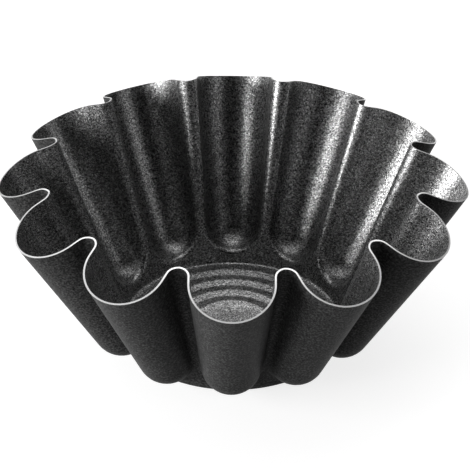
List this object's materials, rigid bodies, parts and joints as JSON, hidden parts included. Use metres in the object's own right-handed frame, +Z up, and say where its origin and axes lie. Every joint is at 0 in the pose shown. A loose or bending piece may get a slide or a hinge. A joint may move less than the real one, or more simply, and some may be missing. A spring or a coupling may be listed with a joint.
{
  "type": "fluted pudding mould",
  "caption": "Round pressed-steel pudding mould: deep tapered flutes with ball-shaped ends rise from a small ringed base to a scalloped, open rim.",
  "frame": {"origin": "on the table, at the centre of the underside of the base", "axes": "+Z up along the mould's axis of symmetry, -Y towards the tip of one flute, the one nearest the viewer in the picture"},
  "size_m": [0.22, 0.22, 0.0888],
  "materials": {
    "outer_coat": "matt charcoal coat on the outside of the sheet",
    "inner_coat": "dark non-stick coat on the inside of the sheet, half gloss with a fine sparkle",
    "cut_edge": "bare bright steel at the cut edge of the rim"
  },
  "bodies": {
    "root": {"mould_body": "outer_coat"}
  },
  "joints": []
}
